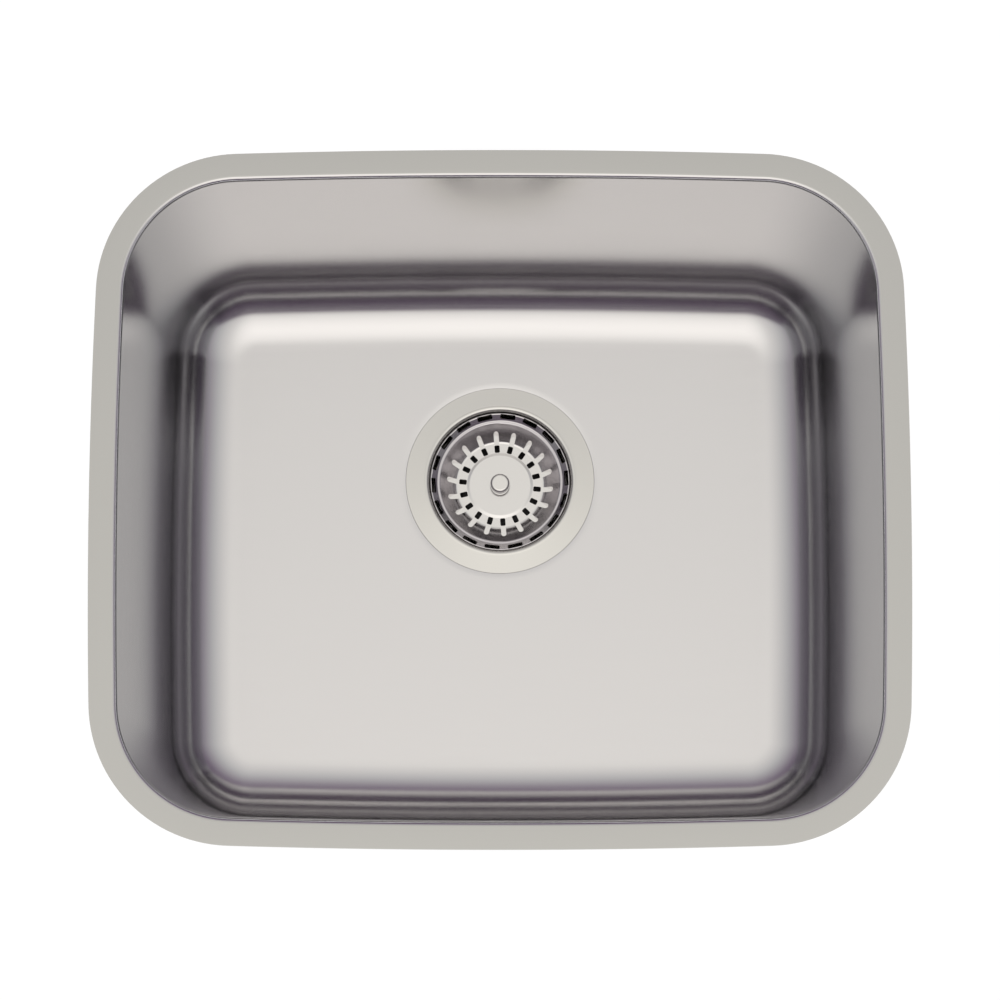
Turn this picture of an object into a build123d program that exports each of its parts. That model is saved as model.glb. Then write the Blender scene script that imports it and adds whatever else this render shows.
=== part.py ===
from build123d import *
import os
from math import cos, radians, sin, tan

# A single-bowl sink pressed from stainless sheet, made to hang under a worktop, with the
# basket strainer in its drain. Millimetres. The origin is the centre of the rim's top face,
# +X runs along the long side, +Y points to the back and +Z points up.

# Rim and bowl, pressed from one sheet
rim_length = 457.0
rim_depth = 395.0
rim_width = 15.5
rim_corner = 80.0
side_bow = 5.0
sheet = 1.0
lip_radius = 3.0
bowl_depth = 200.0
wall_draft = 5.8
floor_radius = 35.5

# Sound pads stuck under the bowl
pad_thickness = 3.0
pad_corner = 8.0
pad_edge = 1.0
base_pad_margin = 12.0
wall_pad_margin = 26.0
side_wall_pad_length = 170.0
long_wall_pad_length = 230.0

# Strainer body, drawn from one sheet and set in a shallow recess at the drain
drain_back = 44.5
cup_radius = 43.0
flange_width = 14.0
flange_rise = 0.65
bead_width = 3.0
bead_rise = 0.5
bead_blend = 3.0
strainer_sheet = 1.0
mouth_radius = 1.4
cup_corner = 6.0
throat_radius_top = 1.5
outlet_radius = 23.9
outlet_length = 36.0
recess_gap = 0.2
recess_edge = 0.5
hole_clearance = 1.0

# Seals, rings and nut that clamp the strainer to the bowl
flange_gasket_thickness = 1.2
flange_gasket_width = 8.0
under_gasket_thickness = 3.0
under_gasket_width = 10.5
under_gasket_edge = 0.7
ring_clearance = 0.6
friction_ring_thickness = 0.8
nut_clearance = 0.15
nut_wall = 9.0
nut_height = 10.0
nut_lug_count = 6
nut_lug_width = 14.0
nut_lug_reach = 4.0
nut_edge = 0.8

# Basket: slotted rim, ledge, sloping wall, and a floor with a hole and a flute at each slot
basket_gap = 0.4
basket_sheet = 0.6
basket_rim_drop = 2.0
basket_skirt = 2.4
basket_depth = 15.0
rim_band = 4.6
rim_band_fall = 3.6
rim_ledge = 1.4
wall_flare = 9.6
slot_count = 18
rim_slot_length = 9.2
rim_slot_width = 2.6
rim_slot_corner = 0.6
rim_slot_turn = 3.2
floor_hole_length = 4.6
floor_hole_width = 3.1
floor_hole_corner = 0.8
floor_hole_inset = 2.0
flute_reach = 5.5
flute_turn = 14.4
disc_inset = 8.4
disc_rise = 0.5
disc_slope = 1.6
rim_roll = 0.8
shoulder_radius = 1.0
basket_corner = 2.5

# Stem, knob, stopper and what holds them together
stem_radius = 2.5
spigot_radius = 2.0
stem_clearance = 0.1
knob_radius = 5.8
knob_height = 9.0
knob_waist = 3.6
knob_head = 3.2
knob_edge = 1.6
knob_bore_depth = 6.0
spigot_end_gap = 0.5
collar_radius = 5.0
collar_height = 5.0
washer_radius = 15.0
washer_thickness = 0.8
seal_overlap = 4.6
seal_thickness = 3.0
seal_lip = 1.4
seal_taper = 6.0
stem_nut_height = 3.0
stem_nut_radius = 4.8
stem_nut_sides = 6

# Crosspiece in the outlet and the sprung clip that the stem pushes through it
crosspiece_gap = 4.0
crosspiece_height = 4.0
crosspiece_band = 1.2
crosspiece_fit = 0.05
spoke_count = 4
spoke_width = 2.4
hub_radius = 6.5
clip_clearance = 0.3
clip_bulge = 3.4
clip_sheet = 0.4
clip_length = 6.0
clip_neck = 1.6
clip_slit = 0.8
clip_slit_length = 3.5
clip_slit_count = 4
stem_point = 2.0
stem_tip_radius = 1.2

# Heights and radii that follow from the sizes above
wall_inset = rim_width + bowl_depth * tan(radians(wall_draft))
floor_fillet = min(floor_radius, rim_corner - wall_inset - sheet)
wall_foot = bowl_depth - floor_fillet * (1 - sin(radians(wall_draft)))
floor_inset = rim_width + wall_foot * tan(radians(wall_draft)) + floor_fillet * cos(radians(wall_draft))
flat_length = rim_length - 2 * floor_inset
flat_depth = rim_depth - 2 * floor_inset

flange_radius = cup_radius + flange_width
cup_outside = cup_radius + strainer_sheet
throat_radius = outlet_radius - strainer_sheet
recess_radius = flange_radius + recess_gap
recess_depth = flange_gasket_thickness + strainer_sheet

basket_radius = cup_radius - basket_gap
shoulder = basket_radius - rim_band
basket_floor_radius = shoulder - rim_ledge - wall_flare
disc_radius = basket_floor_radius - disc_inset
basket_floor = -basket_rim_drop - basket_depth
disc_top = basket_floor + disc_rise
collar_top = disc_top - basket_sheet
washer_top = collar_top - collar_height
seal_top = washer_top - washer_thickness
seat = seal_top - seal_thickness
seal_radius = throat_radius + seal_overlap
stem_hole = stem_radius + stem_clearance
spigot_hole = spigot_radius + stem_clearance
stem_nut_top = seat - washer_thickness
stem_nut_foot = stem_nut_top - stem_nut_height
crosspiece_top = stem_nut_foot - crosspiece_gap
crosspiece_foot = crosspiece_top - crosspiece_height
clip_top = crosspiece_foot - clip_clearance
clip_foot = clip_top - clip_length
stem_foot = clip_foot - stem_point
recess_underside = -recess_depth - sheet
gasket_foot = recess_underside - under_gasket_thickness
friction_foot = gasket_foot - friction_ring_thickness

# Strainer heights are counted from the bowl's floor, on the drain's axis.
drain_centre = Vector(0, drain_back, -bowl_depth)
drain_axis = Axis(drain_centre, (0, 0, 1))
drain_section = Plane(drain_centre, x_dir=(1, 0, 0), z_dir=(0, -1, 0))


def drain_level(height):
    """The level plane on the drain's axis, at a height above the bowl's floor."""
    return Plane(drain_centre + Vector(0, 0, height))


def rim_outline():
    """The rim's outer edge: four gently bowed sides with round corners."""
    half_length, half_depth = rim_length / 2, rim_depth / 2
    corner_x, corner_y = half_length - side_bow, half_depth - side_bow
    with BuildSketch() as outline:
        with BuildLine():
            ThreePointArc((-corner_x, -corner_y), (0, -half_depth), (corner_x, -corner_y))
            ThreePointArc((corner_x, -corner_y), (half_length, 0), (corner_x, corner_y))
            ThreePointArc((corner_x, corner_y), (0, half_depth), (-corner_x, corner_y))
            ThreePointArc((-corner_x, corner_y), (-half_length, 0), (-corner_x, -corner_y))
        make_face()
        fillet(outline.vertices(), radius=rim_corner)
    return outline.sketch


def bowl_block(outset):
    """The space inside the bowl as a solid, grown by outset on its walls and floor."""
    with BuildPart() as block:
        with BuildSketch():
            add(rim_outline())
            offset(amount=outset - rim_width)
        extrude(amount=-bowl_depth - outset, taper=wall_draft)
        floor = block.faces().sort_by(Axis.Z)[0]
        fillet(floor.edges(), radius=floor_fillet + outset)
    return block.part


def ring(inner_radius, outer_radius, top, foot):
    """A flat ring on the drain's axis, between two heights."""
    with BuildPart() as flat_ring:
        with BuildSketch(drain_level(foot)):
            Circle(outer_radius)
            Circle(inner_radius, mode=Mode.SUBTRACT)
        extrude(amount=top - foot)
    return flat_ring.part


os.makedirs("parts", exist_ok=True)

# Sink bowl: rim, walls, floor and drain recess are one pressing.
with BuildPart() as sink_bowl:
    with BuildSketch():
        add(rim_outline())
    extrude(amount=-sheet)
    add(bowl_block(sheet))
    rim_underside = sink_bowl.faces().filter_by(Axis.Z).sort_by(Axis.Z)[-2]
    fillet(rim_underside.inner_wires()[0].edges(), radius=lip_radius - sheet)
    with BuildSketch(drain_level(recess_underside)):
        Circle(recess_radius + sheet)
    extrude(amount=recess_depth + sheet / 2)
    add(bowl_block(0), mode=Mode.SUBTRACT)
    rim_top = sink_bowl.faces().filter_by(Axis.Z).sort_by(Axis.Z)[-1]
    fillet(rim_top.inner_wires()[0].edges(), radius=lip_radius)
    with BuildSketch(drain_level(0)):
        Circle(recess_radius)
    extrude(amount=-recess_depth, mode=Mode.SUBTRACT)
    bowl_floor = sink_bowl.faces().filter_by(Axis.Z).group_by(Axis.Z)[3][0]
    fillet(bowl_floor.inner_wires()[0].edges(), radius=recess_edge)
    with BuildSketch(drain_level(0)):
        Circle(cup_outside + hole_clearance)
    extrude(amount=recess_underside - sheet, mode=Mode.SUBTRACT)
sink_bowl.part.label = "sink_bowl"
export_step(sink_bowl.part, "parts/sink_bowl.step")

# Base pads: sheets of damping rubber on the flat underside, left, right and front of the drain.
pad_edge_x = flat_length / 2 - base_pad_margin
pad_edge_y = flat_depth / 2 - base_pad_margin
drain_edge = recess_radius + sheet + base_pad_margin
side_pad_width = pad_edge_x - drain_edge
front_pad_length = 2 * (drain_edge - base_pad_margin)
front_pad_depth = pad_edge_y + drain_back - drain_edge
base_underside = Plane.XY.offset(-bowl_depth - sheet)
base_pads = (
    ("base_pad_left", -drain_edge - side_pad_width / 2, 0, side_pad_width, 2 * pad_edge_y),
    ("base_pad_right", drain_edge + side_pad_width / 2, 0, side_pad_width, 2 * pad_edge_y),
    ("base_pad_front", 0, front_pad_depth / 2 - pad_edge_y, front_pad_length, front_pad_depth),
)
for name, pad_x, pad_y, pad_length, pad_width in base_pads:
    with BuildPart() as base_pad:
        with BuildSketch(base_underside):
            with Locations((pad_x, pad_y)):
                RectangleRounded(pad_length, pad_width, pad_corner)
        extrude(amount=-pad_thickness)
        fillet(base_pad.faces().sort_by(Axis.Z)[0].edges(), radius=pad_edge)
    base_pad.part.label = name
    export_step(base_pad.part, f"parts/{name}.step")

# Wall pads: the same rubber on the four walls, bent to their bow and draft.
wall_pad_height = wall_foot - 2 * wall_pad_margin
wall_pads = (
    ("wall_pad_left", (-1, 0, 0), side_wall_pad_length),
    ("wall_pad_right", (1, 0, 0), side_wall_pad_length),
    ("wall_pad_front", (0, -1, 0), long_wall_pad_length),
    ("wall_pad_back", (0, 1, 0), long_wall_pad_length),
)
for name, outward, pad_length in wall_pads:
    along = Vector(0, 0, 1).cross(Vector(*outward))
    with BuildPart() as wall_pad:
        add(bowl_block(sheet + pad_thickness))
        add(bowl_block(sheet), mode=Mode.SUBTRACT)
        with BuildSketch(Plane((0, 0, -wall_foot / 2), x_dir=along, z_dir=outward)):
            RectangleRounded(pad_length, wall_pad_height, pad_corner)
        extrude(amount=rim_length, mode=Mode.INTERSECT)
    wall_pad.part.label = name
    export_step(wall_pad.part, f"parts/{name}.step")

# Strainer body: flange, raised mouth, cup, seat and outlet drawn from one sheet.
with BuildPart() as strainer_body:
    with BuildSketch(drain_section):
        with BuildLine():
            FilletPolyline(
                (flange_radius, 0),
                (cup_radius + bead_width, flange_rise),
                (cup_radius, flange_rise + bead_rise),
                (cup_radius, seat),
                (throat_radius, seat),
                (throat_radius, seat - outlet_length),
                radius=[bead_blend, mouth_radius, cup_corner, throat_radius_top],
            )
            offset(amount=strainer_sheet, side=Side.LEFT)
        make_face()
    revolve(axis=drain_axis)
strainer_body.part.label = "strainer_body"
export_step(strainer_body.part, "parts/strainer_body.step")

# Flange gasket: soft ring that fills the recess under the flange.
gasket_outer = flange_radius - recess_gap
gasket_inner = gasket_outer - flange_gasket_width
flange_slope = flange_rise / (flange_width - bead_width)
flange_underside = -strainer_sheet / cos(flange_slope)
with BuildPart() as flange_gasket:
    with BuildSketch(drain_section):
        Polygon(
            (gasket_inner, -recess_depth),
            (gasket_outer, -recess_depth),
            (gasket_outer, flange_underside + (flange_radius - gasket_outer) * flange_slope),
            (gasket_inner, flange_underside + (flange_radius - gasket_inner) * flange_slope),
            align=None,
        )
    revolve(axis=drain_axis)
flange_gasket.part.label = "flange_gasket"
export_step(flange_gasket.part, "parts/flange_gasket.step")

# Under gasket and friction ring: between the bowl's underside and the lock nut.
ring_inner = cup_outside + ring_clearance
with BuildPart() as under_gasket:
    add(ring(ring_inner, ring_inner + under_gasket_width, recess_underside, gasket_foot))
    outer_edges = under_gasket.edges().filter_by(GeomType.CIRCLE).sort_by(SortBy.RADIUS)[-2:]
    fillet(outer_edges, radius=under_gasket_edge)
under_gasket.part.label = "under_gasket"
export_step(under_gasket.part, "parts/under_gasket.step")

with BuildPart() as friction_ring:
    add(ring(ring_inner, ring_inner + under_gasket_width, gasket_foot, friction_foot))
friction_ring.part.label = "friction_ring"
export_step(friction_ring.part, "parts/friction_ring.step")

# Lock nut: screws up the cup's outside and clamps the stack. Its lugs take a spanner.
nut_inner = cup_outside + nut_clearance
nut_outer = nut_inner + nut_wall
with BuildPart() as lock_nut:
    with BuildSketch(drain_level(friction_foot)) as nut_plan:
        Circle(nut_outer)
        with PolarLocations(nut_outer, nut_lug_count):
            Rectangle(2 * nut_lug_reach, nut_lug_width)
        fillet(nut_plan.vertices(), radius=nut_edge)
        Circle(nut_inner, mode=Mode.SUBTRACT)
    extrude(amount=-nut_height)
lock_nut.part.label = "lock_nut"
export_step(lock_nut.part, "parts/lock_nut.step")

# Crosspiece: a band welded in the outlet, with spokes to a hub that guides the stem.
with BuildPart() as crosspiece:
    with BuildSketch(drain_level(crosspiece_foot)):
        Circle(throat_radius - crosspiece_fit)
        Circle(throat_radius - crosspiece_fit - crosspiece_band, mode=Mode.SUBTRACT)
        with PolarLocations(throat_radius / 2, spoke_count):
            Rectangle(throat_radius - crosspiece_band, spoke_width)
        Circle(hub_radius)
        Circle(clip_bulge + clip_clearance, mode=Mode.SUBTRACT)
    extrude(amount=crosspiece_height)
crosspiece.part.label = "crosspiece"
export_step(crosspiece.part, "parts/crosspiece.step")

# Basket cup: spun sheet, slotted where its rim slopes in. Each floor hole opens into a flute that is
# pressed out of the sloping wall at floor level.
basket_line = (
    (basket_radius, -basket_rim_drop),
    (shoulder, -basket_rim_drop - rim_band_fall),
    (shoulder - rim_ledge, -basket_rim_drop - rim_band_fall),
    (basket_floor_radius, basket_floor),
    (disc_radius + disc_slope, basket_floor),
    (disc_radius, disc_top),
)
basket_bends = (shoulder_radius, shoulder_radius, basket_corner, rim_roll, rim_roll)
flute_height = basket_depth - rim_band_fall - rim_ledge
flute_start = basket_floor_radius - floor_hole_inset - floor_hole_length
flute_length = flute_reach + basket_floor_radius - flute_start
flute_middle = flute_start + flute_length / 2
inside_sheet = drain_section.shift_origin(drain_centre - Vector(0, 0, basket_sheet / 2))
with BuildPart() as basket_cup:
    with BuildSketch(drain_level(basket_floor - basket_sheet)):
        with PolarLocations(flute_middle, slot_count, start_angle=flute_turn):
            SlotOverall(flute_length + 2 * basket_sheet, floor_hole_width + 2 * basket_sheet)
    extrude(amount=basket_sheet + flute_height)
    with BuildSketch(inside_sheet):
        with BuildLine():
            FilletPolyline(*basket_line, (0, disc_top), radius=[*basket_bends])
            Polyline((0, disc_top), (0, -basket_rim_drop), (basket_radius, -basket_rim_drop))
        make_face()
    revolve(axis=drain_axis, mode=Mode.SUBTRACT)
    with BuildSketch(drain_section):
        with BuildLine():
            FilletPolyline(
                (basket_radius, -basket_rim_drop - basket_skirt),
                *basket_line,
                (spigot_hole, disc_top),
                radius=[rim_roll, *basket_bends],
            )
            offset(amount=basket_sheet, side=Side.LEFT)
        make_face()
    revolve(axis=drain_axis)
    with BuildSketch(drain_level(basket_floor)):
        with PolarLocations(flute_middle, slot_count, start_angle=flute_turn):
            SlotOverall(flute_length, floor_hole_width)
    extrude(amount=flute_height, mode=Mode.SUBTRACT)
    with BuildSketch(drain_level(basket_floor)):
        with PolarLocations(flute_start + floor_hole_length / 2, slot_count, start_angle=flute_turn):
            RectangleRounded(floor_hole_length, floor_hole_width, floor_hole_corner)
    extrude(amount=-2 * basket_sheet, mode=Mode.SUBTRACT)
    with BuildSketch(drain_level(0)):
        with PolarLocations(basket_radius - rim_band / 2, slot_count, start_angle=rim_slot_turn):
            RectangleRounded(rim_slot_width, rim_slot_length, rim_slot_corner)
    extrude(amount=-basket_depth / 2, mode=Mode.SUBTRACT)
basket_cup.part.label = "basket_cup"
export_step(basket_cup.part, "parts/basket_cup.step")

# Stem: turned rod with a spigot for the knob, a collar under the basket and a necked end.
with BuildPart() as stem:
    with BuildSketch(drain_section):
        Polygon(
            (0, disc_top + knob_bore_depth - spigot_end_gap),
            (spigot_radius, disc_top + knob_bore_depth - spigot_end_gap),
            (spigot_radius, collar_top),
            (collar_radius, collar_top),
            (collar_radius, washer_top),
            (stem_radius, washer_top),
            (stem_radius, clip_top),
            (clip_neck, clip_top),
            (clip_neck, clip_foot),
            (stem_radius, clip_foot),
            (stem_tip_radius, stem_foot),
            (0, stem_foot),
            align=None,
        )
    revolve(axis=drain_axis)
stem.part.label = "stem"
export_step(stem.part, "parts/stem.step")

# Lift knob: turned, with a waist for the fingers and a blind bore for the stem's spigot.
knob_top = disc_top + knob_height
knob_bore_top = disc_top + knob_bore_depth
with BuildPart() as lift_knob:
    with BuildSketch(drain_section):
        with BuildLine():
            Polyline(
                (knob_radius, knob_top - knob_head),
                (knob_radius, knob_top),
                (0, knob_top),
                (0, knob_bore_top),
                (spigot_hole, knob_bore_top),
                (spigot_hole, disc_top),
                (knob_radius, disc_top),
            )
            ThreePointArc(
                (knob_radius, disc_top),
                (knob_waist, disc_top + (knob_height - knob_head) / 2),
                (knob_radius, knob_top - knob_head),
            )
        make_face()
    revolve(axis=drain_axis)
    fillet(lift_knob.edges().filter_by(GeomType.CIRCLE).sort_by(Axis.Z)[-1], radius=knob_edge)
lift_knob.part.label = "lift_knob"
export_step(lift_knob.part, "parts/lift_knob.step")

# Washers: one each side of the stopper, to spread the stem nut's grip.
for name, washer_face in (("upper_washer", washer_top), ("lower_washer", seat)):
    with BuildPart() as washer:
        add(ring(stem_hole, washer_radius, washer_face, washer_face - washer_thickness))
    washer.part.label = name
    export_step(washer.part, f"parts/{name}.step")

# Stopper seal: rubber disc with a thin lip that lies on the seat round the outlet.
with BuildPart() as stopper_seal:
    with BuildSketch(drain_section):
        Polygon(
            (stem_hole, seal_top),
            (seal_radius - seal_taper, seal_top),
            (seal_radius, seat + seal_lip),
            (seal_radius, seat),
            (stem_hole, seat),
            align=None,
        )
    revolve(axis=drain_axis)
stopper_seal.part.label = "stopper_seal"
export_step(stopper_seal.part, "parts/stopper_seal.step")

# Stem nut: plain hexagon nut under the lower washer.
with BuildPart() as stem_nut:
    with BuildSketch(drain_level(stem_nut_top)):
        RegularPolygon(stem_nut_radius, stem_nut_sides)
        Circle(stem_hole, mode=Mode.SUBTRACT)
    extrude(amount=-stem_nut_height)
stem_nut.part.label = "stem_nut"
export_step(stem_nut.part, "parts/stem_nut.step")

# Spring clip: split barrel of spring sheet round the stem's neck, gripped by the crosspiece hub.
clip_end = clip_neck + stem_clearance
clip_middle = (clip_top + clip_foot) / 2
clip_half = clip_length / 2 - clip_sheet
with BuildPart() as spring_clip:
    with BuildSketch(drain_section):
        with BuildLine():
            ThreePointArc((clip_end, clip_middle + clip_half), (clip_bulge - clip_sheet, clip_middle),
                          (clip_end, clip_middle - clip_half))
            offset(amount=clip_sheet, side=Side.LEFT)
        make_face()
    revolve(axis=drain_axis)
    with BuildSketch(drain_level(clip_middle)):
        with PolarLocations(clip_bulge, clip_slit_count):
            Rectangle(2 * clip_bulge, clip_slit)
    extrude(amount=clip_slit_length / 2, both=True, mode=Mode.SUBTRACT)
spring_clip.part.label = "spring_clip"
export_step(spring_clip.part, "parts/spring_clip.step")
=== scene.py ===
import math
import bmesh
import bpy
from mathutils import Matrix, Vector, geometry


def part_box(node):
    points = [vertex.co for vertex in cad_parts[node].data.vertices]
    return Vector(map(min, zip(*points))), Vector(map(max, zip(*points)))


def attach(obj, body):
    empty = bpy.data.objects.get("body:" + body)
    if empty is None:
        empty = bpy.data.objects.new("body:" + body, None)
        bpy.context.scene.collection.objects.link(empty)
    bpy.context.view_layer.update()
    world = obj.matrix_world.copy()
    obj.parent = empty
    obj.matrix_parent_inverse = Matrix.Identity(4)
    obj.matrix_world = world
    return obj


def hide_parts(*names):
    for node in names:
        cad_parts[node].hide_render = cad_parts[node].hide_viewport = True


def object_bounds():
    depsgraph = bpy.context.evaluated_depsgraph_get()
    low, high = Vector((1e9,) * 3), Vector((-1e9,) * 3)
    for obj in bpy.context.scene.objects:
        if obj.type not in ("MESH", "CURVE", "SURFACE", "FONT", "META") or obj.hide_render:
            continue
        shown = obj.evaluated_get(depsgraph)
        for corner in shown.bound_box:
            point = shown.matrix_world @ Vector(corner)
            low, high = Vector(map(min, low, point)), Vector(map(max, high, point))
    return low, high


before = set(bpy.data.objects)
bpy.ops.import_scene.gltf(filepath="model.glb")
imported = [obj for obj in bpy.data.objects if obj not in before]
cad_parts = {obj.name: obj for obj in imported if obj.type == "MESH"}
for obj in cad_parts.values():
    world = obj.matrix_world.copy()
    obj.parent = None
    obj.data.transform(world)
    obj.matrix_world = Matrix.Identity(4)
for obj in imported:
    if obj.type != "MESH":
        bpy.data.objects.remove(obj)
cad_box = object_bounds()

# Sink bowl
# Rim, walls, floor and drain recess, deep-drawn in one pressing from 1 mm austenitic stainless
# sheet. The rim is trimmed to width, and the inside is satin-ground round the walls.
mm = 0.001
up = Vector((0, 0, 1))
sheet = 1.0 * mm
rim_width = 15.5 * mm
rim_corner = 80.0 * mm
side_bow = 5.0 * mm
lip_radius = 3.0 * mm
wall_draft = math.radians(5.8)
bowl_depth = 200.0 * mm
floor_radius = 35.5 * mm
floor_margin = 4.0 * mm
recess_radius = 57.05 * mm
recess_depth = 2.2 * mm
recess_edge = 0.25 * mm
drain_hole = 45.0 * mm
strainer_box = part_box("strainer_body")
drain = Vector(((strainer_box[0].x + strainer_box[1].x) / 2,
                (strainer_box[0].y + strainer_box[1].y) / 2, -bowl_depth))


def sheet_line(mesh, corners, segments):
    """A wire in the XZ plane through corners of (x, z, radius), each rounded to its radius."""
    points = [mesh.verts.new((x, 0, z)) for x, z, radius in corners]
    for pair in zip(points, points[1:]):
        mesh.edges.new(pair)
    cuts = []
    for before, here, after, corner in zip(points, points[1:], points[2:], corners[1:]):
        turn = (here.co - before.co).angle(after.co - here.co)
        cuts.append((here, corner[2] * math.tan(turn / 2)))
    for point, reach in cuts:
        if reach > 0:
            bmesh.ops.bevel(mesh, geom=[point], offset=reach, offset_type="OFFSET", affect="VERTICES",
                            segments=segments, profile=0.5, clamp_overlap=False, material=-1)


def spin_round(mesh, steps):
    """Turns a section in the XZ plane round the Z axis and sets it on the drain's axis."""
    section = mesh.verts[:] + mesh.edges[:]
    bmesh.ops.spin(mesh, geom=section, cent=(0, 0, 0), axis=up, angle=math.tau, steps=steps, use_merge=True)
    bmesh.ops.remove_doubles(mesh, verts=mesh.verts[:], dist=0.001 * mm)
    bmesh.ops.translate(mesh, verts=mesh.verts[:], vec=drain)
    bmesh.ops.recalc_face_normals(mesh, faces=mesh.faces[:])


def join(mesh, other):
    """Adds the other mesh to this one and frees it."""
    carrier = bpy.data.meshes.new("carrier")
    other.to_mesh(carrier)
    other.free()
    mesh.from_mesh(carrier)
    bpy.data.meshes.remove(carrier)


half_length, half_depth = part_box("sink_bowl")[1].xy
long_radius = ((half_length - side_bow) ** 2 + side_bow ** 2) / (2 * side_bow)
short_radius = ((half_depth - side_bow) ** 2 + side_bow ** 2) / (2 * side_bow)
back_centre = Vector((0, half_depth - long_radius))
right_centre = Vector((half_length - short_radius, 0))
crossings = geometry.intersect_sphere_sphere_2d(
    back_centre, long_radius - rim_corner, right_centre, short_radius - rim_corner)
corner_x, corner_y = max(crossings, key=lambda point: point[0] + point[1])
short_turn = math.atan2(corner_y, corner_x - right_centre.x)
long_turn = math.atan2(corner_x, corner_y - back_centre.y)
corner_turn = math.pi / 2 - short_turn - long_turn
side_steps, corner_steps = 14, 28
way_round = (
    (right_centre.x, 0, short_turn, side_steps),
    (corner_x, corner_y, corner_turn, corner_steps),
    (0, back_centre.y, 2 * long_turn, 2 * side_steps),
    (-corner_x, corner_y, corner_turn, corner_steps),
    (-right_centre.x, 0, 2 * short_turn, 2 * side_steps),
    (-corner_x, -corner_y, corner_turn, corner_steps),
    (0, -back_centre.y, 2 * long_turn, 2 * side_steps),
    (corner_x, -corner_y, corner_turn, corner_steps),
    (right_centre.x, 0, short_turn, side_steps),
)
wall_foot = rim_width + bowl_depth * math.tan(wall_draft)
floor_edge = wall_foot + floor_radius * math.tan((math.pi / 2 - wall_draft) / 2) + floor_margin

bowl = bmesh.new()
sheet_line(bowl, [
    (half_length, 0, 0),
    (half_length - rim_width, 0, lip_radius),
    (half_length - wall_foot, -bowl_depth, floor_radius),
    (half_length - floor_edge, -bowl_depth, 0),
], segments=20)
leading_edge = bowl.verts[:] + bowl.edges[:]
for centre_x, centre_y, turn, steps in way_round:
    swept = bmesh.ops.spin(bowl, geom=leading_edge, cent=(centre_x, centre_y, 0), axis=up, angle=turn,
                           steps=steps)
    leading_edge = swept["geom_last"]
bmesh.ops.remove_doubles(bowl, verts=bowl.verts[:], dist=0.01 * mm)
recess = bmesh.new()
sheet_line(recess, [
    (recess_radius + floor_margin, 0, 0),
    (recess_radius, 0, recess_edge),
    (recess_radius, -recess_depth, 0),
    (drain_hole, -recess_depth, 0),
], segments=4)
spin_round(recess, steps=96)
join(bowl, recess)
floor_rims = [edge for edge in bowl.edges
              if edge.is_boundary and abs(edge.verts[0].co.z + bowl_depth) < sheet / 2]
bmesh.ops.triangle_fill(bowl, use_beauty=True, normal=up, edges=floor_rims)
bmesh.ops.recalc_face_normals(bowl, faces=bowl.faces[:])
bmesh.ops.solidify(bowl, geom=bowl.faces[:], thickness=-sheet)
bmesh.ops.recalc_face_normals(bowl, faces=bowl.faces[:])


def piece_from(mesh, material, name, body, slot, *nodes, sharp=40):
    """Makes the mesh a piece that stands for its nodes, smooth but for edges over sharp degrees."""
    for face in mesh.faces:
        face.smooth = True
    for edge in mesh.edges:
        edge.smooth = edge.calc_face_angle(0) < math.radians(sharp)
    data = bpy.data.meshes.new(name)
    mesh.to_mesh(data)
    mesh.free()
    data.materials.append(material)
    piece = bpy.data.objects.new(name, data)
    bpy.context.scene.collection.objects.link(piece)
    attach(piece, body)
    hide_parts(*nodes)
    return piece


def linear(colour):
    """An sRGB hex colour as linear RGBA."""
    channels = [int(colour[i:i + 2], 16) / 255 for i in (1, 3, 5)]
    return [c / 12.92 if c <= 0.04045 else ((c + 0.055) / 1.055) ** 2.4 for c in channels] + [1.0]


def add_node(tree, kind, inputs=None, **settings):
    """Adds a node with its settings. Each input is a value, or a socket to link from."""
    made = tree.nodes.new(kind)
    for key, value in settings.items():
        setattr(made, key, value)
    for key, value in (inputs or {}).items():
        if isinstance(value, bpy.types.NodeSocket):
            tree.links.new(value, made.inputs[key])
        else:
            made.inputs[key].default_value = value
    return made


def new_material(name, **values):
    """A material with its Principled shader's uniform values set, its tree and its shader."""
    material = bpy.data.materials.new(name)
    material.use_nodes = True
    shader = material.node_tree.nodes["Principled BSDF"]
    for key, value in values.items():
        shader.inputs[key.replace("_", " ").title()].default_value = value
    return material, material.node_tree, shader


# Satin-ground stainless steel: a soft mirror with a fine grain that runs along the walls and
# the floor. The grit leaves lines about 0.1 mm apart, drawn here at 0.7 mm so that they show.
grain_width, grain_length = 0.7 * mm, 45.0 * mm
satin_steel, tree, shader = new_material("satin_steel", metallic=1.0)
place = add_node(tree, "ShaderNodeTexCoord")
facing = add_node(tree, "ShaderNodeSeparateXYZ",
                  {"Vector": add_node(tree, "ShaderNodeNewGeometry").outputs["Normal"]})
sideways = add_node(tree, "ShaderNodeMath", {0: facing.outputs["X"]}, operation="ABSOLUTE")
grains = []
for scale in ((1 / grain_length, 1 / grain_width, 1 / grain_width),
              (1 / grain_width, 1 / grain_length, 1 / grain_width)):
    stretched = add_node(tree, "ShaderNodeMapping", {"Vector": place.outputs["Object"], "Scale": scale})
    grains.append(add_node(tree, "ShaderNodeTexNoise",
                           {"Vector": stretched.outputs[0], "Scale": 1.0, "Detail": 3.0}))
grain = add_node(tree, "ShaderNodeMix", {
    0: sideways.outputs[0], 2: grains[0].outputs[0], 3: grains[1].outputs[0]}, data_type="FLOAT")
height = add_node(tree, "ShaderNodeSeparateXYZ", {"Vector": place.outputs["Object"]})
on_rim = add_node(tree, "ShaderNodeMapRange", {
    "Value": height.outputs["Z"], "From Min": -0.15 * mm, "From Max": -0.05 * mm})
rough = add_node(tree, "ShaderNodeMapRange", {
    "Value": grain.outputs[0], "From Min": 0.3, "From Max": 0.7, "To Min": 0.16, "To Max": 0.21})
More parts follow.
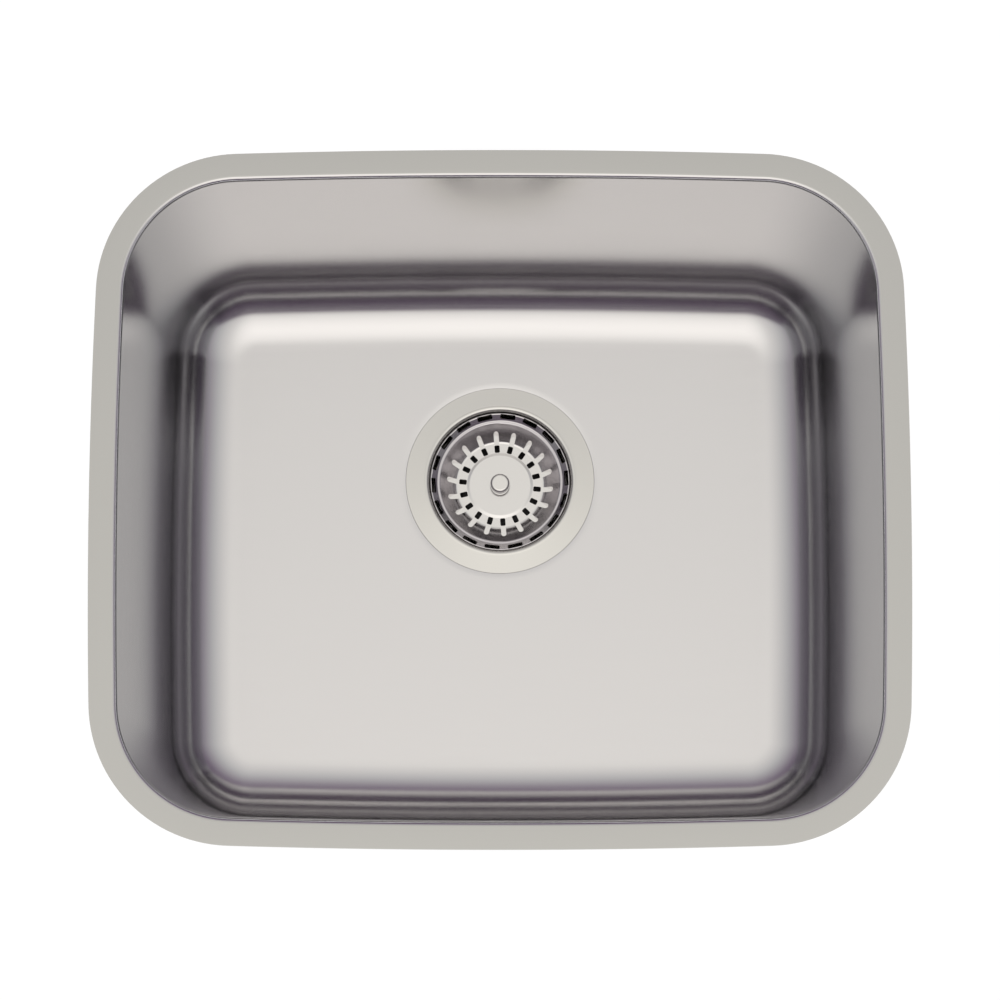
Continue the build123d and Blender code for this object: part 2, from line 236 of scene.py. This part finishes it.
rim_rough = add_node(tree, "ShaderNodeMix", {
    0: on_rim.outputs[0], 2: rough.outputs[0], 3: 0.40}, data_type="FLOAT")
tree.links.new(rim_rough.outputs[0], shader.inputs["Roughness"])
# Painted shade: walls that face left or right get a darker, bluer base tone than the floor and the front and
# back walls.
painted_side_shade = add_node(tree, "ShaderNodeMix", {
    0: sideways.outputs[0], 6: linear("#cbcaca"), 7: linear("#b8b8ba")}, data_type="RGBA")
tone = add_node(tree, "ShaderNodeMix", {
    0: on_rim.outputs[0], 6: painted_side_shade.outputs[2], 7: linear("#bcbcb8")}, data_type="RGBA")
tree.links.new(tone.outputs[2], shader.inputs["Base Color"])
scratches = add_node(tree, "ShaderNodeBump", {
    "Strength": 0.03, "Distance": 0.05 * mm, "Height": grain.outputs[0]})
tree.links.new(scratches.outputs[0], shader.inputs["Normal"])
piece_from(bowl, satin_steel, "pressed_bowl", "sink", "bowl_steel", "sink_bowl")

# Damping pads
# Seven sheets of filled rubber, punched to shape and stuck under the floor and outside the
# walls. They deaden the ring of the thin steel when water falls on it.
pad_thickness = 3.0 * mm
pad_corner = 8.0 * mm
pad_edge = 0.8 * mm


def roughen(tree, shader, pitch, depth):
    """Gives a surface a fine random relief, its lumps about a pitch apart and that deep."""
    place = add_node(tree, "ShaderNodeTexCoord")
    lumps = add_node(tree, "ShaderNodeTexNoise", {
        "Vector": place.outputs["Object"], "Scale": 1 / pitch, "Detail": 3.0})
    relief = add_node(tree, "ShaderNodeBump", {"Distance": depth, "Height": lumps.outputs[0]})
    tree.links.new(relief.outputs[0], shader.inputs["Normal"])


def finish_pad(mesh, outward, name):
    """Rounds the corners of a sheet that lies on the steel, thickens it outwards and eases its edge."""
    corners = [point for point in mesh.verts if len(point.link_edges) == 2]
    bmesh.ops.bevel(mesh, geom=corners, offset=pad_corner, affect="VERTICES", segments=6, profile=0.5,
                    material=-1)
    bmesh.ops.recalc_face_normals(mesh, faces=mesh.faces[:])
    if mesh.faces[:][0].normal.dot(outward) < 0:
        bmesh.ops.reverse_faces(mesh, faces=mesh.faces[:])
    bmesh.ops.solidify(mesh, geom=mesh.faces[:], thickness=-pad_thickness)
    bmesh.ops.recalc_face_normals(mesh, faces=mesh.faces[:])
    outer = {face for face in mesh.faces if face.normal.dot(outward) > 0.7}
    rim = [edge for edge in mesh.edges if len(outer.intersection(edge.link_faces)) == 1]
    bmesh.ops.bevel(mesh, geom=rim, offset=pad_edge, affect="EDGES", segments=3, profile=0.5, material=-1)
    piece_from(mesh, damping_rubber, name.replace("pad", "sheet"), "sink", "pad_rubber", name)


# Filled rubber: a dull charcoal that gives back a broad, weak sheen, with the faint pitting that
# the rolls leave in the sheet.
damping_rubber, tree, shader = new_material("damping_rubber", base_color=linear("#3a3a3c"), roughness=0.72)
roughen(tree, shader, 1.5 * mm, 0.12 * mm)
for name in ("base_pad_left", "base_pad_right", "base_pad_front"):
    low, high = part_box(name)
    middle = (low + high) / 2
    pad = bmesh.new()
    bmesh.ops.create_grid(pad, x_segments=1, y_segments=1, size=0.5)
    bmesh.ops.scale(pad, vec=high - low, verts=pad.verts[:])
    bmesh.ops.translate(pad, vec=(middle.x, middle.y, high.z), verts=pad.verts[:])
    finish_pad(pad, -up, name)
for name, half_width, side_radius, heading in (
        ("wall_pad_right", half_length, short_radius, 0), ("wall_pad_back", half_depth, long_radius, 90),
        ("wall_pad_left", half_length, short_radius, 180), ("wall_pad_front", half_depth, long_radius, 270)):
    low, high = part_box(name)
    half_pad = max((high - low).xy) / 2
    outside = half_width - rim_width + sheet
    side_centre = Vector((half_width - side_radius, 0, 0))
    half_turn = math.asin(half_pad / (outside - side_centre.x))
    turned = Matrix.Rotation(math.radians(heading), 3, "Z")
    pad = bmesh.new()
    ends = [pad.verts.new((outside + z * math.tan(wall_draft), 0, z)) for z in (low.z, high.z)]
    wall_line = ends + [pad.edges.new(ends)]
    bmesh.ops.rotate(pad, verts=ends, cent=side_centre, matrix=Matrix.Rotation(-half_turn, 3, "Z"))
    bmesh.ops.spin(pad, geom=wall_line, cent=side_centre, axis=up, angle=2 * half_turn, steps=12)
    bmesh.ops.rotate(pad, verts=pad.verts[:], cent=(0, 0, 0), matrix=turned)
    finish_pad(pad, turned @ Vector((1, 0, 0)), name)

# Strainer body
# Flange, raised mouth, cup, seat and outlet, drawn and spun from one 1 mm stainless sheet and
# buffed. It drops into the recess from above, and its outlet has a rolled thread for the waste
# pipe.
cup_radius = 43.0 * mm
flange_radius = 57.0 * mm
flange_rise = 0.65 * mm
bead_width = 3.0 * mm
bead_rise = 0.5 * mm
bead_blend = 3.0 * mm
mouth_roll = 2.2 * mm
cup_corner = 6.0 * mm
throat_edge = 1.5 * mm
seat = -25.9 * mm
outlet_length = 36.0 * mm
throat_radius = 22.9 * mm
pipe_thread_pitch = 2.2 * mm
pipe_thread_height = 0.5 * mm
pipe_thread_length = 20.0 * mm


def screw_thread(radius, height, pitch, top, foot):
    """A helical ridge round the Z axis, on a rod of that radius between two heights."""
    ridge = bmesh.new()
    section = [ridge.verts.new((radius + out * height, 0, foot + level * pitch))
               for out, level in ((-0.1, 0.1), (1, 0.4), (1, 0.6), (-0.1, 0.9))]
    section += [ridge.edges.new(pair) for pair in zip(section, section[1:])]
    turns = (top - foot) / pitch - 1
    steps = round(48 * turns)
    bmesh.ops.spin(ridge, geom=section, cent=(0, 0, 0), axis=up, angle=math.tau * turns, steps=steps,
                   dvec=(0, 0, pitch * turns / steps))
    bmesh.ops.translate(ridge, verts=ridge.verts[:], vec=drain)
    return ridge


def turning_lines(tree, shader, pitch, depth, smoothest, roughest):
    """Fine rings round the drain's axis, as a buff or a lathe leaves them, in roughness and relief.

    Returns the socket that holds the distance from that axis."""
    place = add_node(tree, "ShaderNodeTexCoord")
    flat = add_node(tree, "ShaderNodeMapping", {
        "Vector": place.outputs["Object"], "Location": (-drain.x, -drain.y, 0), "Scale": (1, 1, 0)})
    away = add_node(tree, "ShaderNodeVectorMath", {0: flat.outputs[0]}, operation="LENGTH")
    rings = add_node(tree, "ShaderNodeTexNoise", {
        "W": away.outputs["Value"], "Scale": 1 / pitch, "Detail": 2.0}, noise_dimensions="1D")
    rough = add_node(tree, "ShaderNodeMapRange", {
        "Value": rings.outputs[0], "From Min": 0.3, "From Max": 0.7, "To Min": smoothest, "To Max": roughest})
    tree.links.new(rough.outputs[0], shader.inputs["Roughness"])
    relief = add_node(tree, "ShaderNodeBump", {
        "Strength": 0.2, "Distance": depth, "Height": rings.outputs[0]})
    tree.links.new(relief.outputs[0], shader.inputs["Normal"])
    return away.outputs["Value"]


def paint_slope_shade(tree, shader, flat_tone, shaded_slope_tone, bright_share=1.0):
    """Colours faces tilted by under 16 degrees in one tone, and paints shade on those over 37 degrees in
    another.
    """
    facing = add_node(tree, "ShaderNodeSeparateXYZ",
                      {"Vector": add_node(tree, "ShaderNodeNewGeometry").outputs["Normal"]})
    level = add_node(tree, "ShaderNodeMapRange", {
        "Value": facing.outputs["Z"], "From Min": math.cos(math.radians(37)),
        "From Max": math.cos(math.radians(16))})
    bright = add_node(tree, "ShaderNodeMath", {0: level.outputs[0], 1: bright_share}, operation="MULTIPLY")
    shaded_skin = add_node(tree, "ShaderNodeMix", {
        0: bright.outputs[0], 6: linear(shaded_slope_tone), 7: linear(flat_tone)}, data_type="RGBA")
    tree.links.new(shaded_skin.outputs[2], shader.inputs["Base Color"])


outlet_foot = seat - outlet_length
strainer = bmesh.new()
sheet_line(strainer, [
    (flange_radius, 0, 0),
    (cup_radius + bead_width, flange_rise, bead_blend),
    (cup_radius, flange_rise + bead_rise, mouth_roll),
    (cup_radius, seat, cup_corner),
    (throat_radius, seat, throat_edge),
    (throat_radius, outlet_foot, 0),
], segments=12)
spin_round(strainer, steps=128)
bmesh.ops.solidify(strainer, geom=strainer.faces[:], thickness=-sheet)
bmesh.ops.recalc_face_normals(strainer, faces=strainer.faces[:])
join(strainer, screw_thread(throat_radius + sheet, pipe_thread_height, pipe_thread_pitch,
                            outlet_foot + pipe_thread_length, outlet_foot))
# Buffed stainless steel: a near mirror that spreads highlights into soft streaks across its
# rings. The buff leaves marks about 0.1 mm apart, drawn here at 0.5 mm so that they show.
buffed_steel, tree, shader = new_material("buffed_steel", metallic=1.0, base_color=linear("#c8c7c3"))
turning_lines(tree, shader, 0.5 * mm, 0.02 * mm, 0.12, 0.20)
piece_from(strainer, buffed_steel, "strainer_cup", "sink", "strainer_steel", "strainer_body")

# Flange gasket
# Ring of soft black rubber foam, stamped from sheet. The flange squeezes it into the recess, so
# no water runs between the strainer and the bowl.
gasket_inner = 48.8 * mm
gasket_outer = 56.8 * mm
gasket_foot = -2.2 * mm
gasket_top = -1.0 * mm
gasket_edge = 0.25 * mm


def spun_ring(inner, outer, top, foot, edge, steps=128):
    """A ring on the drain's axis with an oblong section whose edges are rounded."""
    middle = (top + foot) / 2
    mesh = bmesh.new()
    sheet_line(mesh, [
        (inner, middle, 0), (inner, foot, edge), (outer, foot, edge), (outer, top, edge), (inner, top, edge),
        (inner, middle, 0),
    ], segments=4)
    spin_round(mesh, steps)
    return mesh


# Seal rubber: black, with a soft sheen along its moulded edges.
seal_rubber, tree, shader = new_material("seal_rubber", base_color=linear("#1d1d1f"), roughness=0.55)
roughen(tree, shader, 0.8 * mm, 0.03 * mm)
gasket = spun_ring(gasket_inner, gasket_outer, gasket_top, gasket_foot, gasket_edge)
piece_from(gasket, seal_rubber, "flange_seal", "sink", "seal_rubber", "flange_gasket")

# Under gasket and friction ring
# A thick moulded rubber ring seals the bowl's underside round the hole. The ring of pressed
# fibre below it lets the nut turn without dragging the rubber round.
stack_inner = 44.6 * mm
stack_outer = 55.1 * mm
stack_top = -3.2 * mm
rubber_thickness = 3.0 * mm
rubber_edge = 0.7 * mm
fibre_thickness = 0.8 * mm
fibre_edge = 0.1 * mm
rubber_foot = stack_top - rubber_thickness
under_ring = spun_ring(stack_inner, stack_outer, stack_top, rubber_foot, rubber_edge)
piece_from(under_ring, seal_rubber, "under_seal", "sink", "seal_rubber", "under_gasket")
# Pressed fibre: a matt tan board with a slightly felted face.
pressed_fibre, tree, shader = new_material("pressed_fibre", base_color=linear("#b99a72"), roughness=0.85)
roughen(tree, shader, 0.6 * mm, 0.05 * mm)
nut_top = rubber_foot - fibre_thickness
slip_ring = spun_ring(stack_inner, stack_outer, rubber_foot, nut_top, fibre_edge)
piece_from(slip_ring, pressed_fibre, "slip_ring", "sink", "ring_fibre", "friction_ring")

# Lock nut
# Ring nut moulded in pale acetal. It screws up the cup's outside and clamps the rings to the
# bowl, and its six lugs take a spanner.
nut_inner = 44.15 * mm
nut_outer = 53.15 * mm
nut_height = 10.0 * mm
nut_edge = 0.8 * mm
lug_count = 6
lug_reach = 4.0 * mm
nut_steps = 144
lug_steps = 6
nut = bmesh.new()
corners = [(nut_inner, nut_top, 0), (nut_inner, nut_top - nut_height, 0),
           (nut_outer, nut_top - nut_height, 0), (nut_outer, nut_top, 0), (nut_inner, nut_top, 0)]
sheet_line(nut, corners, segments=1)
spin_round(nut, nut_steps)
half_lug = math.pi * lug_steps / nut_steps
for lug in range(lug_count):
    way = Matrix.Rotation(math.tau * lug / lug_count, 3, "Z") @ Vector((1, 0, 0))
    flanks = []
    for face in nut.faces:
        from_axis = (face.calc_center_median() - drain) * Vector((1, 1, 0))
        if from_axis.length > 0.99 * nut_outer and from_axis.angle(way) < half_lug:
            flanks.append(face)
    grown = bmesh.ops.extrude_face_region(nut, geom=flanks)["geom"]
    bmesh.ops.delete(nut, geom=flanks, context="FACES_ONLY")
    tips = [part for part in grown if isinstance(part, bmesh.types.BMVert)]
    bmesh.ops.translate(nut, verts=tips, vec=way * lug_reach)
bmesh.ops.recalc_face_normals(nut, faces=nut.faces[:])
brinks = [edge for edge in nut.edges if edge.calc_face_angle(0) > math.radians(50)]
bmesh.ops.bevel(nut, geom=brinks, offset=nut_edge, affect="EDGES", segments=3, profile=0.5, material=-1)
# Moulded acetal: milky off-white with a low gloss, and a faint ripple where it shrank in the mould.
acetal, tree, shader = new_material("moulded_acetal", base_color=linear("#dcdad3"), roughness=0.42)
roughen(tree, shader, 4.0 * mm, 0.03 * mm)
piece_from(nut, acetal, "ring_nut", "sink", "nut_plastic", "lock_nut")

# Crosspiece
# Band, four spokes and hub, blanked from stainless strip and spot-welded into the outlet. Its
# hub guides the stem, and grips the clip when the basket stands open.


def dress(material, *nodes):
    """Gives CAD nodes that are shown as they are their material."""
    for node in nodes:
        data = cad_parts[node].data
        data.materials.clear()
        data.materials.append(material)


# Blanked steel: mill-finish strip, greyer and duller than the buffed cup round it.
blanked_steel, tree, shader = new_material("blanked_steel", metallic=1.0, base_color=linear("#bdbcba"),
                                           roughness=0.34)
roughen(tree, shader, 1.0 * mm, 0.01 * mm)
dress(blanked_steel, "crosspiece")

# Basket cup
# Strainer basket pressed from 0.6 mm stainless sheet, with slots pierced round its rim and a
# hole and a flute at each of eighteen places round its floor. It drops into the cup.

# Bright rolled steel: mirror-like on the flat of the floor and the flutes. Painted shade greys the cone and
# the rim, and the steep faces nearer the middle. Spun rings blur what it reflects.
unshaded_radius = 33.0 * mm
shaded_radius = 35.0 * mm
rolled_steel, tree, shader = new_material("rolled_steel", metallic=1.0)
axis_distance = turning_lines(tree, shader, 0.4 * mm, 0.02 * mm, 0.10, 0.18)
# Painted shade: past this radius every face takes the shaded tone, tilted or not.
inside_rim = add_node(tree, "ShaderNodeMapRange", {
    "Value": axis_distance, "From Min": shaded_radius, "From Max": unshaded_radius})
paint_slope_shade(tree, shader, "#d0cfcd", "#bcb9bb", inside_rim.outputs[0])
dress(rolled_steel, "basket_cup")

# Lift knob
# Turned from stainless bar, with a waist for two fingers. It is pressed on to the stem's spigot
# and holds the basket down on the stem's collar.

# Turned steel: bright rings from the lathe on a hard, clear shine, with painted shade that darkens the steep
# faces round the edge and the waist.
turned_steel, tree, shader = new_material("turned_steel", metallic=1.0)
turning_lines(tree, shader, 0.3 * mm, 0.01 * mm, 0.08, 0.14)
paint_slope_shade(tree, shader, "#d2d1ce", "#a3a0a2")
dress(turned_steel, "lift_knob")

# Stem
# Brass rod turned on a lathe: spigot, collar, threaded shank and a necked end for the clip. It
# hangs under the basket and carries the stopper.
spigot_top = -11.0 * mm
spigot_radius = 2.0 * mm
collar_top = -17.1 * mm
collar_foot = -22.1 * mm
collar_radius = 5.0 * mm
stem_radius = 2.5 * mm
neck_radius = 1.6 * mm
neck_top = -38.0 * mm
neck_foot = -44.0 * mm
stem_foot = -46.0 * mm
tip_radius = 1.2 * mm
stem_nut_foot = -29.7 * mm
stem_thread_pitch = 0.8 * mm
stem_thread_height = 0.18 * mm
turned_edge = 0.3 * mm
rod = bmesh.new()
sheet_line(rod, [
    (0, spigot_top, 0),
    (spigot_radius, spigot_top, turned_edge),
    (spigot_radius, collar_top, 0),
    (collar_radius, collar_top, turned_edge),
    (collar_radius, collar_foot, turned_edge),
    (stem_radius, collar_foot, 0),
    (stem_radius, neck_top, turned_edge),
    (neck_radius, neck_top, 0),
    (neck_radius, neck_foot, 0),
    (stem_radius, neck_foot, turned_edge),
    (tip_radius, stem_foot, turned_edge),
    (0, stem_foot, 0),
], segments=4)
spin_round(rod, steps=48)
join(rod, screw_thread(stem_radius, stem_thread_height, stem_thread_pitch, neck_top, stem_nut_foot))
# Turned brass: warm yellow with a satin sheen and the lathe's rings.
brass, tree, shader = new_material("turned_brass", metallic=1.0, base_color=linear("#cfae6a"))
turning_lines(tree, shader, 0.3 * mm, 0.01 * mm, 0.20, 0.30)
piece_from(rod, brass, "stem_rod", "basket", "stem_brass", "stem")

# Washers
# Two flat rings blanked from plated steel strip, above and below the stopper. They spread the
# nut's grip over the rubber.

# Plated steel: bluish grey and half bright, with the dull bloom of zinc.
zinc_plate, tree, shader = new_material("zinc_plate", metallic=1.0, base_color=linear("#b9bcc1"),
                                        roughness=0.30)
roughen(tree, shader, 0.7 * mm, 0.01 * mm)
dress(zinc_plate, "upper_washer", "lower_washer")

# Stopper seal
# Moulded rubber disc on the stem, thick in the middle and thin at its lip. With the basket
# pushed home, the lip lies on the seat and holds the water in the bowl.
seal_top = -22.9 * mm
seal_bore = 2.6 * mm
seal_radius = 27.5 * mm
seal_lip = 1.4 * mm
seal_taper = 6.0 * mm
seal_edge = 0.5 * mm
seal_shoulder = 2.0 * mm
stopper = bmesh.new()
sheet_line(stopper, [
    (seal_bore, (seal_top + seat) / 2, 0),
    (seal_bore, seat, 0),
    (seal_radius, seat, seal_edge),
    (seal_radius, seat + seal_lip, seal_edge),
    (seal_radius - seal_taper, seal_top, seal_shoulder),
    (seal_bore, seal_top, 0),
    (seal_bore, (seal_top + seat) / 2, 0),
], segments=6)
spin_round(stopper, steps=96)
piece_from(stopper, seal_rubber, "stopper_disc", "basket", "seal_rubber", "stopper_seal")

# Stem nut
# Small hexagon nut of turned brass, run up the stem's thread against the lower washer to hold
# the stopper together. Its corners are chamfered.
corner_chamfer = 0.5 * mm
low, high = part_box("stem_nut")
corner_radius = (high.x - low.x) / 2
hexagon = bmesh.new()
bmesh.ops.create_cone(hexagon, cap_ends=True, segments=6, radius1=corner_radius, radius2=corner_radius,
                      depth=high.z - low.z)
bmesh.ops.bevel(hexagon, geom=hexagon.verts[:], offset=corner_chamfer, affect="VERTICES", segments=1,
                profile=0.5, material=-1)
bmesh.ops.rotate(hexagon, verts=hexagon.verts[:], cent=(0, 0, 0), matrix=Matrix.Rotation(math.pi / 2, 3, "Z"))
bmesh.ops.translate(hexagon, verts=hexagon.verts[:], vec=(low + high) / 2)
piece_from(hexagon, brass, "hexagon_nut", "basket", "stem_brass", "stem_nut", sharp=20)

# Spring clip
# Split barrel of thin spring steel, snapped round the stem's neck. It squeezes through the
# crosspiece's hub and holds the basket up while the bowl drains.
dress(zinc_plate, "spring_clip")

# Floor, light and camera
# A sheet of white paper under the sink, which stands on its outlet, and one large soft light
# overhead, a little to the front, that fades towards the horizon.
floor_half = 30.0
floor_gap = 0.5 * mm
floor_mesh = bmesh.new()
bmesh.ops.create_grid(floor_mesh, x_segments=1, y_segments=1, size=floor_half)
bmesh.ops.translate(floor_mesh, verts=floor_mesh.verts[:], vec=(0, 0, cad_box[0].z - floor_gap))
floor_data = bpy.data.meshes.new("studio_floor")
floor_mesh.to_mesh(floor_data)
floor_mesh.free()
studio_floor = bpy.data.objects.new("studio_floor", floor_data)
bpy.context.scene.collection.objects.link(studio_floor)
# White paper: seen or mirrored it glows nearly white by itself, and it still takes a faint shadow.
paper = bpy.data.materials.new("white_paper")
paper.use_nodes = True
tree = paper.node_tree
tree.nodes.clear()
ray = add_node(tree, "ShaderNodeLightPath")
seen = add_node(tree, "ShaderNodeMath", {
    0: ray.outputs["Is Camera Ray"], 1: ray.outputs["Is Glossy Ray"]}, operation="MAXIMUM")
shown = add_node(tree, "ShaderNodeMath", {
    0: seen.outputs[0], 1: ray.outputs["Is Transmission Ray"]}, operation="MAXIMUM")
share = add_node(tree, "ShaderNodeMath", {0: shown.outputs[0], 1: 0.88}, operation="MULTIPLY")
lit = add_node(tree, "ShaderNodeBsdfDiffuse", {"Color": linear("#f4f4f4")})
glow = add_node(tree, "ShaderNodeEmission", {"Strength": 1.08})
mixed = add_node(tree, "ShaderNodeMixShader", {0: share.outputs[0], 1: lit.outputs[0], 2: glow.outputs[0]})
add_node(tree, "ShaderNodeOutputMaterial", {"Surface": mixed.outputs[0]})
floor_data.materials.append(paper)

world = bpy.data.worlds.new("studio")
bpy.context.scene.world = world
world.use_nodes = True
tree = world.node_tree
tree.nodes.clear()
light_tilt = math.radians(22)
light_peak = 1.55
light_narrowing = 1.25
front_edge = math.radians(55)
edge_blur = 0.03
edge_bow = 0.5
skirting_height = 0.2
skirting_grey = (0.65, 0.65, 0.65)
# Brightness at angles from the light's axis, as shares of its peak, with the tint there. Past its
# front edge, which bows towards the sides, and above the grey skirting stands dark violet cloth.
fade = (
    (90, (0.058, 0.032, 0.070)),
    (76, (0.192, 0.155, 0.202)),
    (54, (0.48, 0.475, 0.475)),
    (32, (0.70, 0.68, 0.655)),
    (0, (1.02, 0.985, 0.945)),
)
place = add_node(tree, "ShaderNodeTexCoord")
split = add_node(tree, "ShaderNodeSeparateXYZ", {"Vector": place.outputs["Generated"]})
narrowed = add_node(tree, "ShaderNodeMapping", {
    "Vector": place.outputs["Generated"], "Scale": (light_narrowing, 1, 1)})
heading = add_node(tree, "ShaderNodeVectorMath", {0: narrowed.outputs[0]}, operation="NORMALIZE")
toward = add_node(tree, "ShaderNodeVectorMath", {
    0: heading.outputs[0], 1: (0, -math.sin(light_tilt), math.cos(light_tilt))}, operation="DOT_PRODUCT")
cloth = add_node(tree, "ShaderNodeValToRGB", {0: toward.outputs["Value"]})
stops = cloth.color_ramp.elements
while len(stops) < len(fade):
    stops.new(0.5)
for stop, (angle, tint) in zip(stops, fade):
    stop.position = math.cos(math.radians(angle))
    stop.color = (*tint, 1)
aside = add_node(tree, "ShaderNodeMath", {
    0: split.outputs["X"], 1: split.outputs["X"]}, operation="MULTIPLY")
bowed = add_node(tree, "ShaderNodeMath", {
    0: aside.outputs[0], 1: -edge_bow, 2: split.outputs["Y"]}, operation="MULTIPLY_ADD")
behind_edge = add_node(tree, "ShaderNodeMapRange", {
    "Value": bowed.outputs[0], "From Min": -math.sin(front_edge) - edge_blur,
    "From Max": -math.sin(front_edge) + edge_blur}, interpolation_type="SMOOTHSTEP")
overhead = add_node(tree, "ShaderNodeMix", {
    0: behind_edge.outputs[0], 6: (*fade[0][1], 1), 7: cloth.outputs[0]}, data_type="RGBA")
skirting = add_node(tree, "ShaderNodeMath", {
    0: split.outputs["Z"], 1: skirting_height}, operation="LESS_THAN")
walls = add_node(tree, "ShaderNodeMix", {
    0: skirting.outputs[0], 6: overhead.outputs[2], 7: (*skirting_grey, 1)}, data_type="RGBA")
back = add_node(tree, "ShaderNodeBackground", {"Color": walls.outputs[2], "Strength": light_peak})
add_node(tree, "ShaderNodeOutputWorld", {"Surface": back.outputs[0]})

bpy.context.scene.view_settings.view_transform = "Standard"
camera = bpy.data.objects.new("camera", bpy.data.cameras.new("camera"))
bpy.context.scene.collection.objects.link(camera)
camera.location = (0, -0.395, 2.2)
camera.rotation_euler = (math.radians(10.10), 0, 0)
camera.data.lens = 144.8
camera.data.sensor_width = 36.0
bpy.context.scene.camera = camera
